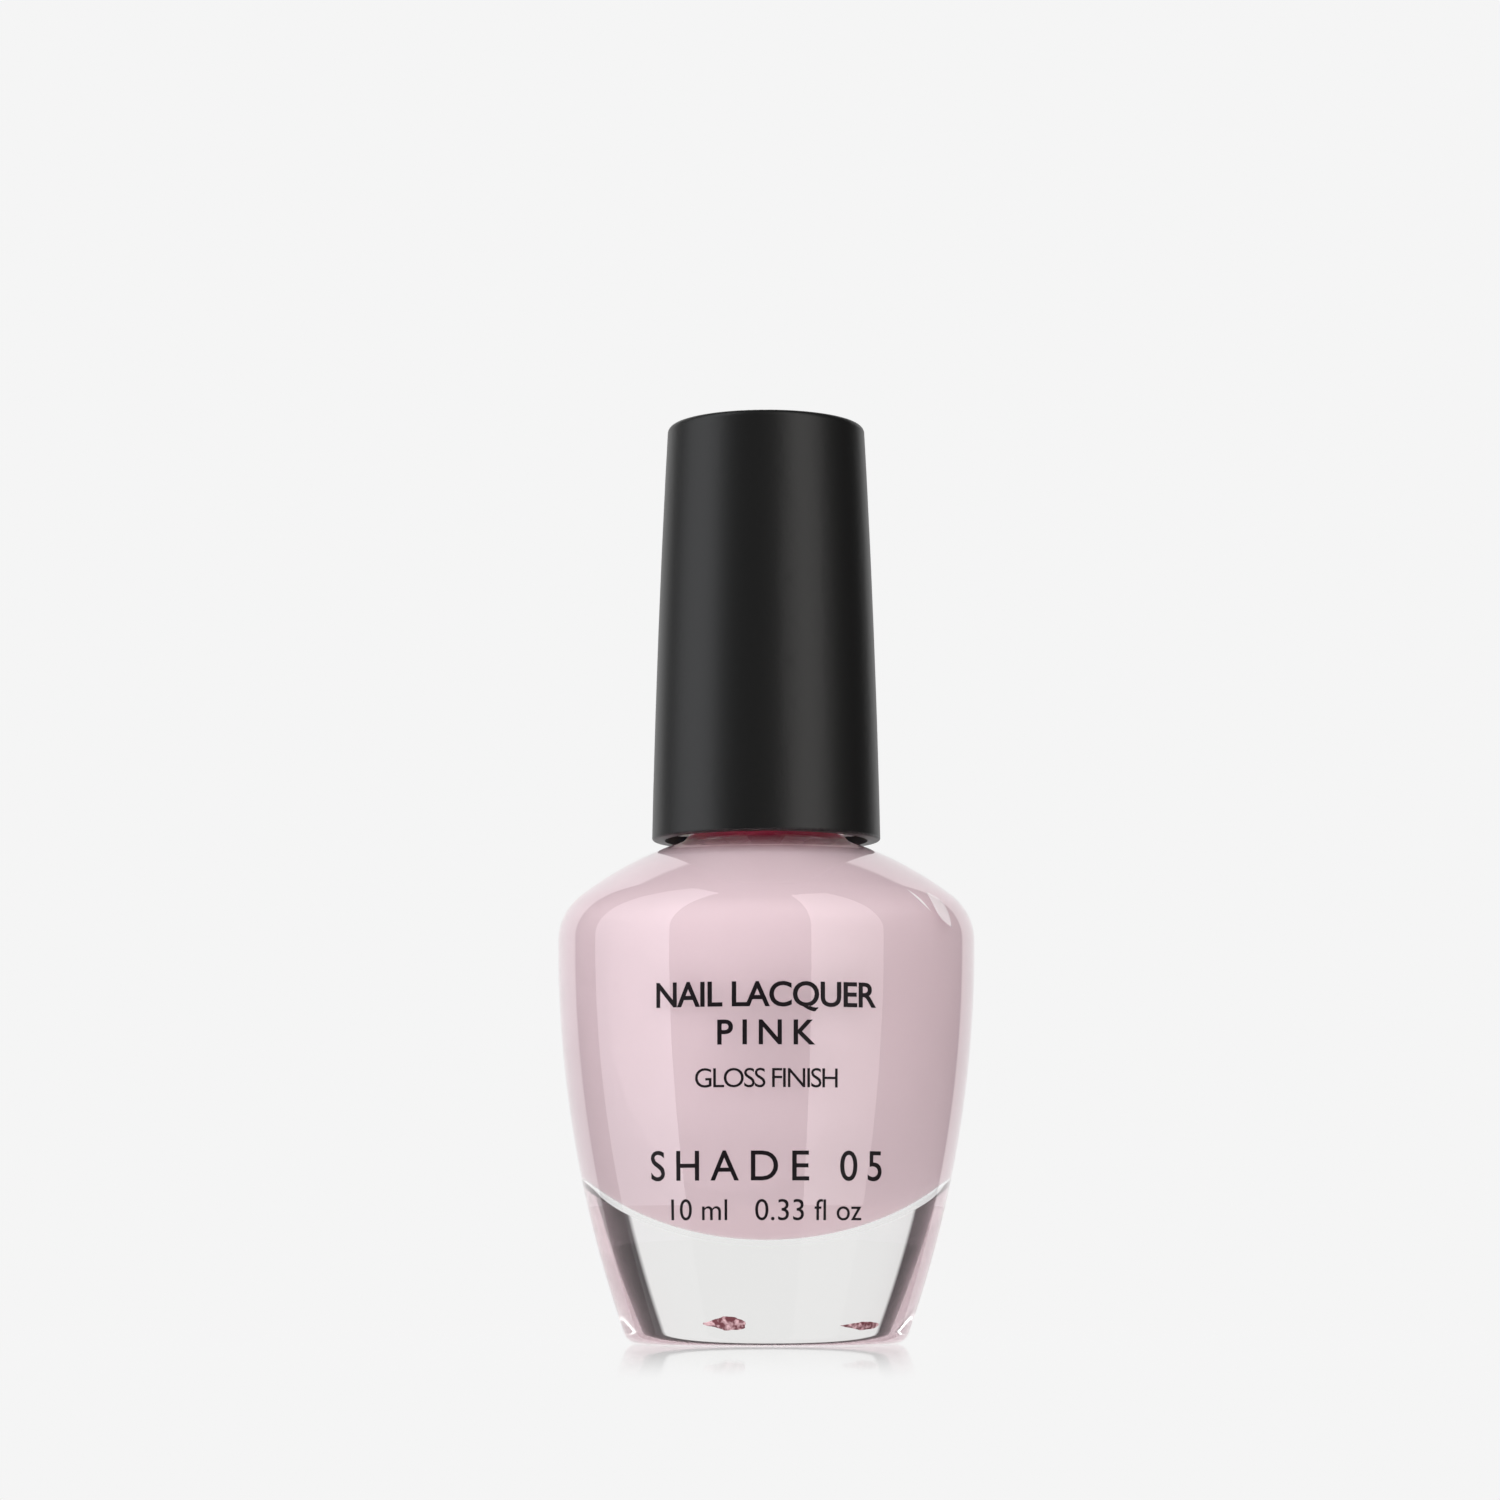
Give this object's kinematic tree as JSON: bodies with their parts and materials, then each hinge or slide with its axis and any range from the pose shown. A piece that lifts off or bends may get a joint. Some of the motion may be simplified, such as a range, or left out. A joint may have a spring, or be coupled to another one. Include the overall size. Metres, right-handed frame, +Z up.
{
  "type": "nail polish bottle",
  "caption": "Round glass bottle of nail polish with a tall tapered screw cap that carries the brush on its stem.",
  "frame": {"origin": "centre of the glass foot, on the surface the bottle stands on", "axes": "+Z up along the bottle's axis; the front of the label faces -Y"},
  "size_m": [0.031, 0.031, 0.0685],
  "materials": {
    "glass": "clear flint glass, fire polished",
    "lacquer": "opaque pastel pink lacquer, wet gloss",
    "ball_steel": "polished stainless steel",
    "overcap_plastic": "moulded black polypropylene, satin",
    "inner_cap_plastic": "moulded natural white polypropylene",
    "liner_foam": "white polyethylene foam",
    "wand_plastic": "moulded black polyethylene",
    "staple_metal": "drawn brass wire",
    "nylon_bristle": "black nylon filament"
  },
  "bodies": {
    "bottle": {"glass_bottle": "glass", "polish_fill": "lacquer"},
    "mixing_balls": {"mixing_ball_a": "ball_steel", "mixing_ball_b": "ball_steel"},
    "seal": {"seal_liner": "liner_foam"},
    "cap": {"overcap": "overcap_plastic", "inner_cap": "inner_cap_plastic", "brush_wand": "wand_plastic", "tuft_staple": "staple_metal", "bristle_tuft": "nylon_bristle"}
  },
  "joints": [
    {"name": "cap_lift", "type": "slide", "parent": "bottle", "child": "seal", "axis": [0, 0, 1], "range_m": [0, 0.03812]},
    {"name": "cap_turn", "type": "hinge", "parent": "seal", "child": "cap", "pos_m": [0, 0, 0.04], "axis": [0, 0, 1], "range_deg": [0, 6480]},
    {"name": "ball_orbit", "type": "hinge", "parent": "bottle", "child": "mixing_balls", "pos_m": [0, 0, 0.01], "axis": [0, 0, 1], "continuous": true}
  ],
  "couplings": [
    {"joint": "cap_lift", "follows": "cap_turn", "m_per_rad": 0.00033693}
  ]
}
